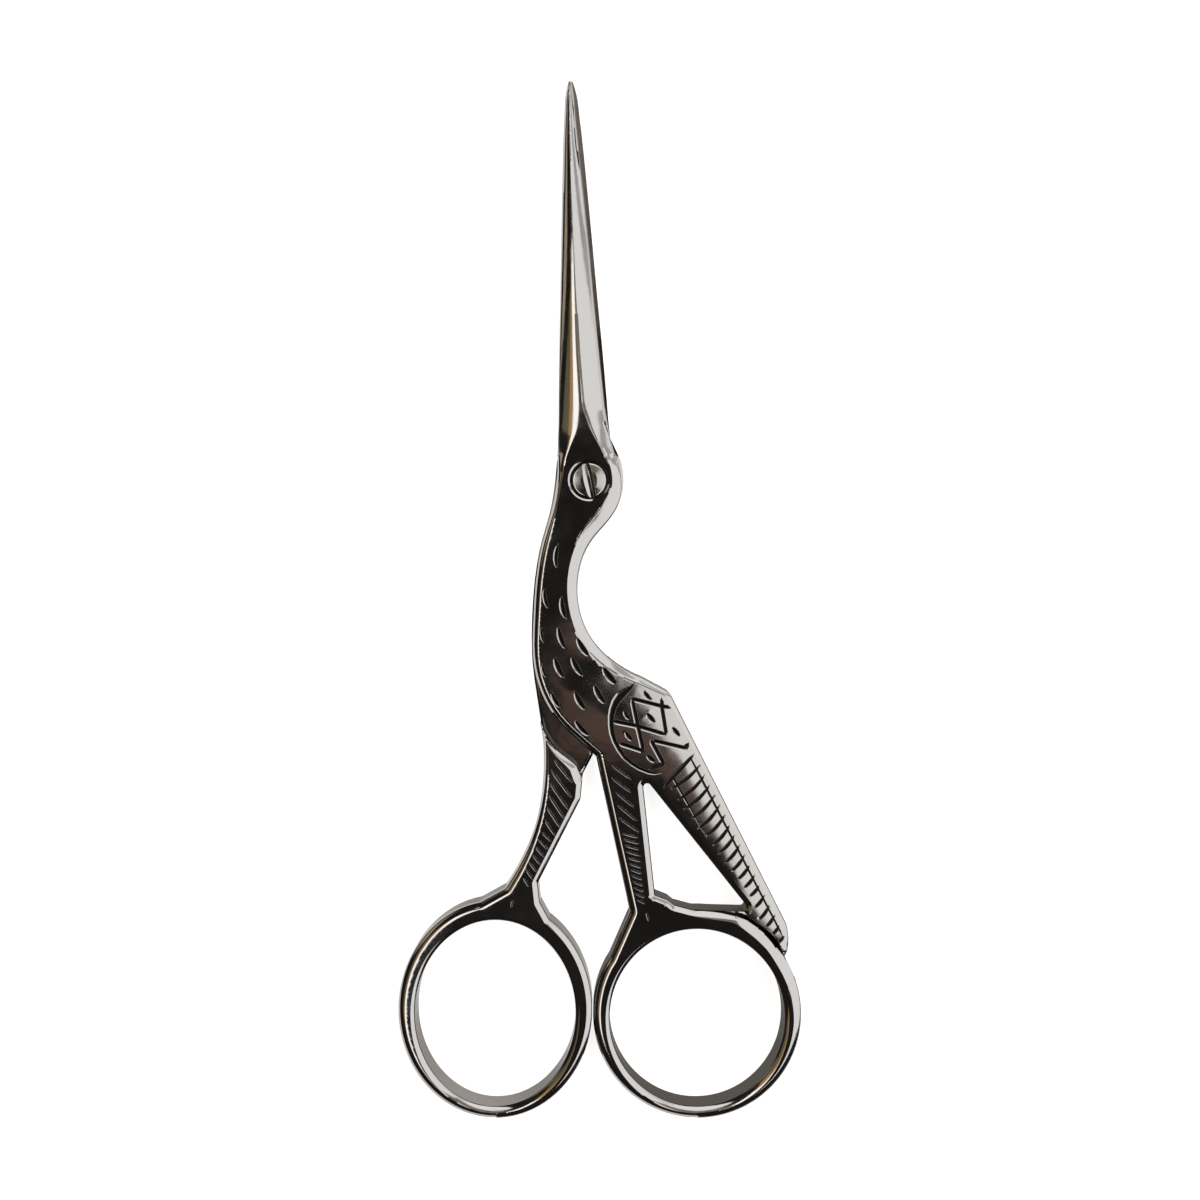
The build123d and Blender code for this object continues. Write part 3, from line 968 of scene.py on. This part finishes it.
def forge_half(node, lap, above, strokes, body, painted_wall_shade_amount):
    """Builds one half. lap is its lap level; above is 1 where its blade lies above the lap and -1 below it."""
    curves, bored, beyond, step = half_lines(node, lap, above)
    slopes = outline_slopes(bored, node)
    middle = len(step) // 2
    probe = step[middle] + left_normals(step)[middle] * step_probe
    stepped = [*slopes, Slope(step, step_rows, True, 1 if holds(beyond, probe) else -1)]
    front_slopes, rear_slopes = (slopes, stepped) if above > 0 else (stepped, slopes)
    fixed, extra, rim, crown_rail = list(curves), [], 0, None
    if above > 0:
        seats = section_loops(node, counterbore_floor + above_floor)
        counterbore = smoothed(min(seats, key=middle_distance), outline_step)
        rim = lengths(counterbore).max()
        fixed.append(counterbore)
        extra = rim_rows(rim)
        crown_rail = slopes[1].line
        ring_line, tail_line = with_ring(spots(ring_top + crease), crown_rail), resampled(spots(crease))
        front_slopes = [*slopes, Slope(ring_line, crease_ring_rows, True, -1)]
        front_slopes.append(Slope(tail_line, crease_tail_rows, True, 1))
    every_slope = front_slopes + [slope for slope in rear_slopes if slope not in front_slopes]
    loose = lay_out(bored, every_slope, strokes)
    radius = lengths(loose)
    clear = (radius < rim - rim_inner_room) | (radius > rim + rim_width * rim_outer_room)
    plan = Plan(fixed, step, np.concatenate([loose[clear], *extra]))
    points = plan.points
    cut, dark = cut_depths(strokes, points)
    radius = lengths(points)
    bevel = rim_drop * fading(radius - rim, rim_width) * (radius > rim - on_outline) * (rim > 0)
    surfaces = {
        "front": lap_middle + layer - face_drop(points, front_slopes, crown_rail) - cut - bevel,
        "rear": lap_middle - layer + face_drop(points, rear_slopes) + cut,
        "lap": lap + above * lap_drop(points, curves[0]),
        "floor": np.full(len(points), counterbore_floor),
    }
    fronts, rears = region_surfaces(plan, curves, beyond, above, rim)
    mesh, used, names = relief_mesh(f"{node}_forged", plan, surfaces, fronts, rears, painted_wall_shade_amount)
    # The cuts' black: patina at the bottom and painted shade on the wall turned from the light.
    depth = np.where([name in ("front", "rear") for name in names], dark[used], 0)
    mesh.attributes.new("patina_and_painted_shade", "FLOAT", "POINT").data.foreach_set("value", depth.astype(np.float32))
    piece = placed(f"{node}_forged", mesh)
    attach(piece, body)
    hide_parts(node)
    return piece


every_rear_stroke = rear_strokes + breast_strokes
front = forge_half("front_half", front_lap, 1, front_strokes, "front", front_painted_wall_shade)
rear = forge_half("rear_half", rear_lap, -1, every_rear_stroke, "rear", rear_painted_wall_shade)

# %% [markdown]
# ## The pivot screw
# The real screw is turned, and its slot is sawn and worn open at its lips. A lathe profile spun round the axis
# gives the turned part, and a boolean difference with a prism saws the slot. The head is a very flat dome with a
# rounded rim, and the lip that faces the light shows as one bright streak.

# %% Screw
screw_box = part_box("pivot_screw")
screw_top = screw_box[1].z / MM
head_radius = screw_box[1].x / MM
shank_radius = 1.1
end_chamfer = 0.12
thread_rings, thread_start, thread_rise, thread_depth = 13, 0.12, 0.14, 0.1
thread_top = 2.1
seat_level = 3.09
head_chamfer, head_chamfer_rise, rim_band = 0.05, 0.06, 0.08

# The slot: half its width at the bottom, its depth, its turn, and its worn lips.
slot_half, slot_depth, slot_turn = 0.17, 0.5, 101.7
lip_width, lip_depth = 0.46, 0.28
saw_length, saw_height = 6, 1
edge_softness, softened_from, screw_sharp_edge = 0.02, 20, 35

# Rings of the head from its rim inwards: share of its radius, and how far below its middle, in mm.
head_rings = [
    (1, 0.3), (0.96, 0.19), (0.913, 0.145), (0.882, 0.125), (0.862, 0.121), (0.77, 0.104), (0.513, 0.058),
    (0.256, 0.018),
]


def finished_mesh(name, work):
    """A mesh from a bmesh, with its faces turned outwards."""
    bmesh.ops.recalc_face_normals(work, faces=work.faces)
    mesh = bpy.data.meshes.new(name)
    work.to_mesh(mesh)
    work.free()
    return mesh


def lathe(name, profile, turns=96):
    """A closed turned mesh from (radius, height) points that start and end on the axis."""
    work = bmesh.new()
    rings = []
    for radius, height in profile:
        if radius == 0:
            rings.append([work.verts.new((0, 0, height * MM))])
        else:
            around = circle(turns) * radius
            rings.append([work.verts.new((x * MM, y * MM, height * MM)) for x, y in around])
    for low, high in zip(rings, rings[1:]):
        for i in range(turns):
            j = (i + 1) % turns
            corners = [low[i % len(low)], low[j % len(low)], high[j % len(high)], high[i % len(high)]]
            work.faces.new(list(dict.fromkeys(corners)))
    return finished_mesh(name, work)


def saw_blade(name, section, length, turn):
    """A prism with this cross-section of (across, height) points, lying along the slot."""
    work = bmesh.new()
    ends = []
    for x in (-length / 2, length / 2):
        ends.append([work.verts.new((x * MM, across * MM, z * MM)) for across, z in section])
        work.faces.new(ends[-1])
    for i in range(len(section)):
        work.faces.new([ends[0][i - 1], ends[0][i], ends[1][i], ends[1][i - 1]])
    made = placed(name, finished_mesh(name, work))
    made.rotation_euler.z = np.radians(turn)
    return made


def apply_modifiers(piece):
    """Keeps the evaluated mesh and drops the modifiers."""
    graph = bpy.context.evaluated_depsgraph_get()
    piece.data = bpy.data.meshes.new_from_object(piece.evaluated_get(graph))
    piece.modifiers.clear()


def screw_profile():
    """(radius, height) points: the threaded shank from its end up, the seat, and the head."""
    dome = [(head_radius * share, screw_top - fall) for share, fall in head_rings]
    shank = [(0, 0.0), (shank_radius - end_chamfer, 0.0)]
    for i in range(thread_rings):
        shank.append((shank_radius - thread_depth * (i % 2), thread_start + thread_rise * i))
    shank += [(shank_radius, thread_top), (shank_radius, seat_level)]
    rim = [(head_radius - head_chamfer, seat_level), (head_radius, seat_level + head_chamfer_rise)]
    return [*shank, *rim, (head_radius, dome[0][1] - rim_band), *dome, (0, screw_top)]


def saw_section():
    """The slot's cross-section: a narrow bottom, sloping lips, and straight sides above the head."""
    wide = slot_half + lip_width
    half = [(slot_half, -slot_depth), (slot_half, -lip_depth), (wide, 0), (wide, saw_height)]
    half = [(across, screw_top + z) for across, z in half]
    return half + [(-across, z) for across, z in reversed(half)]


screw = placed("pivot_screw_turned", lathe("pivot_screw_turned", screw_profile()))
saw = saw_blade("saw", saw_section(), saw_length, slot_turn)
sawing = screw.modifiers.new("slot", "BOOLEAN")
sawing.operation, sawing.object, sawing.solver = "DIFFERENCE", saw, "EXACT"
softening = screw.modifiers.new("edges", "BEVEL")
softening.width, softening.segments, softening.limit_method = edge_softness * MM, 2, "ANGLE"
softening.angle_limit = np.radians(softened_from)
apply_modifiers(screw)
bpy.data.objects.remove(saw)
screw.data.shade_smooth()
screw.data.set_sharp_from_angle(angle=np.radians(screw_sharp_edge))
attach(screw, "rear")
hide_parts("pivot_screw")
print("screw vertices:", len(screw.data.vertices))

# %% [markdown]
# ## Polished steel with dark cuts
# The real metal is plated steel, mirror polished, with the cuts left dark. A fully metallic Principled shader is
# the plate. A slow noise bump stands for the wheel's waviness, fine stretched noise for hairlines, and a soft
# noise varies the gloss as handling does. The mesh carries how dark each cut and each wall is: the cuts' patina,
# with painted shade on the cut walls turned from the light, and painted shade on the upright walls.

# %% Steel material
steel_colour = (0.4, 0.39, 0.38)
grazing_tint = (0.42, 0.4, 0.38)
patina_and_shade_colour = (0.02, 0.018, 0.016)
patina_roughness = 0.5
half_gloss = (0.06, 0.14)
screw_gloss = (0.08, 0.18)


def join(tree, source, target):
    """Links a socket, or a node's first output, to a socket."""
    tree.links.new(getattr(source, "outputs", [source])[0], target)


def add_node(tree, kind, settings=(), links=()):
    node = tree.nodes.new("ShaderNode" + kind)
    for key, value in dict(settings).items():
        if isinstance(key, int) or key in node.inputs:
            node.inputs[key].default_value = value
        else:
            setattr(node, key, value)
    for key, source in dict(links).items():
        join(tree, source, node.inputs[key])
    return node


def metal_shader(name, colour, smudge):
    """A polished metal with a wheel's waves, hairlines and uneven gloss. Gives material, gloss and shader."""
    material = bpy.data.materials.new(name)
    material.use_nodes = True
    tree = material.node_tree
    shader = tree.nodes["Principled BSDF"]
    shader.inputs["Metallic"].default_value = 1.0
    shader.inputs["Base Color"].default_value = (*colour, 1)
    shader.inputs["Specular Tint"].default_value = (*grazing_tint, 1)
    place = add_node(tree, "TexCoord").outputs["Object"]
    wheel = add_node(tree, "TexNoise", {"Scale": 420.0, "Detail": 2.0, "Roughness": 0.45}, {"Vector": place})
    handling = add_node(tree, "TexNoise", {"Scale": 260.0, "Detail": 5.0, "Roughness": 0.6}, {"Vector": place})
    brushing = {"Rotation": (0, 0, 0.5), "Scale": (9000, 700, 9000)}
    stretch = add_node(tree, "Mapping", brushing, {"Vector": place})
    hairlines = add_node(tree, "TexNoise", {"Scale": 1.0, "Detail": 2.0}, {"Vector": stretch})
    uneven = {"To Min": smudge[0], "To Max": smudge[1], "From Min": 0.35, "From Max": 0.75}
    gloss = add_node(tree, "MapRange", uneven, {"Value": handling})
    waves = add_node(tree, "Bump", {"Strength": 0.3, "Distance": 0.00003}, {"Height": wheel})
    scratched = {"Height": hairlines, "Normal": waves}
    lines = add_node(tree, "Bump", {"Strength": 0.12, "Distance": 0.000004}, scratched)
    join(tree, lines, shader.inputs["Normal"])
    join(tree, gloss, shader.inputs["Roughness"])
    return material, gloss, shader


def engraved_steel(name, colour, smudge):
    """The same metal with its cuts blackened and painted shade on its walls, as dark as the mesh says."""
    material, gloss, shader = metal_shader(name, colour, smudge)
    tree = material.node_tree
    # Patina and painted shade in the cuts, and painted shade on the upright walls, darken the colour and dull the
    # gloss.
    depth = add_node(tree, "Attribute", {"attribute_name": "patina_and_painted_shade"}).outputs["Fac"]
    blackening_and_shade = add_node(tree, "MapRange", {"From Min": 0.1, "To Max": 1.0}, {"Value": depth})
    painted_wall_shade = add_node(tree, "Attribute", {"attribute_name": "painted_wall_shade"}).outputs["Fac"]
    blackening_and_shade = add_node(tree, "Math", {"operation": "MAXIMUM"}, {0: blackening_and_shade, 1: painted_wall_shade})
    colours = {"data_type": "RGBA", 6: (*colour, 1), 7: (*patina_and_shade_colour, 1)}
    tone = add_node(tree, "Mix", colours, {0: blackening_and_shade})
    dull = add_node(tree, "Mix", {"data_type": "FLOAT", 3: patina_roughness}, {0: blackening_and_shade, 2: gloss})
    join(tree, tone.outputs[2], shader.inputs["Base Color"])
    join(tree, dull, shader.inputs["Roughness"])
    return material


half_steel = engraved_steel("engraved_nickel", steel_colour, half_gloss)
screw_polish = metal_shader("screw_polish", steel_colour, screw_gloss)[0]
for piece, material in ((front, half_steel), (rear, half_steel), (screw, screw_polish)):
    piece.data.materials.clear()
    piece.data.materials.append(material)
print("materials:", [m.name for m in bpy.data.materials if m.users])

# %% [markdown]
# ## Light for a mirror
# Polished steel has no look of its own: it shows the room. A product photographer hangs the camera above in the
# dark, puts large white cards to the right and behind, and narrow warm strips to the left. So the panels turn
# black, right slopes turn white, and left ones show thin gold lines. Here the cards are level area lamps, side by
# side without overlap, each cut to the angles that one kind of slope reflects.

# %% Lamps
from mathutils import Vector

object_middle = Vector((0.0012, -0.0133, 0.004))
card_height = 0.8
white, cream, rose, warm = (1, 1, 1), (1, 0.98, 0.95), (1, 0.85, 0.75), (1, 0.85, 0.6)
amber, olive, brown = (1, 0.58, 0.22), (1, 0.85, 0.5), (1, 0.6, 0.47)

# Each card: the angles from the zenith that it fills towards +X and towards +Y, its light, 1 being white paper,
# and its colour.
cards = {
    "right_card": ((28, 76), (-50, 38), 1.6, white),
    "tip_card": ((28, 76), (38, 48), 0.7, white),
    "corner_card": ((28, 76), (48, 68), 1.6, white),
    "back_card": ((-20, 28), (32, 72), 1.7, white),
    "ridge_left": ((-12, -0.6), (12, 32), 0.35, rose),
    "ridge_right": ((0.4, 28), (14, 32), 0.35, rose),
    "wing_card": ((7, 28), (-2, 14), 1.5, cream),
    "tail_card": ((14, 28), (-15, -2), 1.6, cream),
    "left_strip": ((-28, -12), (-27, 21), 2.4, cream),
    "gold_strip": ((-38, -28), (-27, 21), 0.75, amber),
    "olive_strip": ((-52, -38), (-27, 21), 0.22, olive),
    "warm_card": ((-76, -58), (32, 66), 0.6, warm),
    "brown_card": ((-2, 14), (-7.5, -3), 0.15, brown),
}


def card(name, across, along_y, radiance, colour):
    """A level sheet of light above the scissors."""
    x_low, x_high, y_low, y_high = (card_height * np.tan(np.radians(a)) for a in (*across, *along_y))
    data = bpy.data.lights.new(name, "AREA")
    data.shape = "RECTANGLE"
    data.size, data.size_y = x_high - x_low, y_high - y_low
    data.energy = radiance * np.pi * data.size * data.size_y
    data.color = colour
    lamp = placed(name, data)
    lamp.location = object_middle + Vector(((x_low + x_high) / 2, (y_low + y_high) / 2, card_height))
    lamp.visible_camera = False


for name, row in cards.items():
    card(name, *row)

# %% [markdown]
# ## Room, floor and background
# The photograph's background is plain white. The floor is a pale sheet that glows a little for the camera and for
# reflections, so it is white without more light on the steel, and the scissors' shadow still shows.

# %% Room and floor
room_colour = (0.022, 0.02, 0.019)
floor_drop = 0.00002
floor_half = 1.5
paper_white = 0.8
paper_glow = 0.8


def emptied_tree(owner):
    owner.use_nodes = True
    owner.node_tree.nodes.clear()
    return owner.node_tree


def room_light():
    world = bpy.data.worlds.new("room")
    bpy.context.scene.world = world
    tree = emptied_tree(world)
    room = add_node(tree, "Background", {"Color": (*room_colour, 1), "Strength": 1.0})
    blank = add_node(tree, "Background", {"Color": (1, 1, 1, 1), "Strength": 1.0})
    seen = add_node(tree, "LightPath").outputs["Is Camera Ray"]
    mix = add_node(tree, "MixShader", {}, {0: seen, 1: room, 2: blank})
    add_node(tree, "OutputWorld", {}, {0: mix})


def white_floor():
    mesh = bpy.data.meshes.new("floor")
    level = cad_box[0].z - floor_drop
    corners = [(x * floor_half, y * floor_half, level) for x, y in ((-1, -1), (1, -1), (1, 1), (-1, 1))]
    mesh.from_pydata(corners, [], [(0, 1, 2, 3)])
    floor = placed("floor", mesh)
    material = bpy.data.materials.new("floor_white")
    tree = emptied_tree(material)
    paper = add_node(tree, "BsdfDiffuse", {"Color": (paper_white, paper_white, paper_white, 1)})
    rays = add_node(tree, "LightPath").outputs
    seen = rays["Is Camera Ray"]
    for other in ("Is Glossy Ray", "Is Transmission Ray"):
        seen = add_node(tree, "Math", {"operation": "MAXIMUM"}, {0: seen, 1: rays[other]})
    strength = add_node(tree, "Math", {"operation": "MULTIPLY", 1: paper_glow}, {0: seen})
    glow = add_node(tree, "Emission", {"Color": (1, 1, 1, 1)}, {"Strength": strength})
    both = add_node(tree, "AddShader", {}, {0: paper, 1: glow})
    add_node(tree, "OutputMaterial", {}, {0: both})
    mesh.materials.append(material)


room_light()
white_floor()

# %% [markdown]
# ## The camera
# The photograph was taken from straight above and quite near: the inner walls of the rings show on their far
# sides. Its middle pixel and its scale give the camera's place, and the near distance gives the lens.

# %% Camera
image_width = 1200
camera_distance = 0.155
near_clip = 0.01
camera_middle = spot(600, 600)
seen_width = image_width * photo_scale * MM
camera_data = bpy.data.cameras.new("camera")
camera_data.lens = camera_data.sensor_width * camera_distance / seen_width
camera_data.clip_start = near_clip
camera = placed("camera", camera_data)
camera.location = (camera_middle[0] * MM, camera_middle[1] * MM, cad_box[1].z + camera_distance)
bpy.context.scene.camera = camera
bpy.context.scene.view_settings.view_transform = "Standard"
print("lens in mm:", round(camera_data.lens, 1))
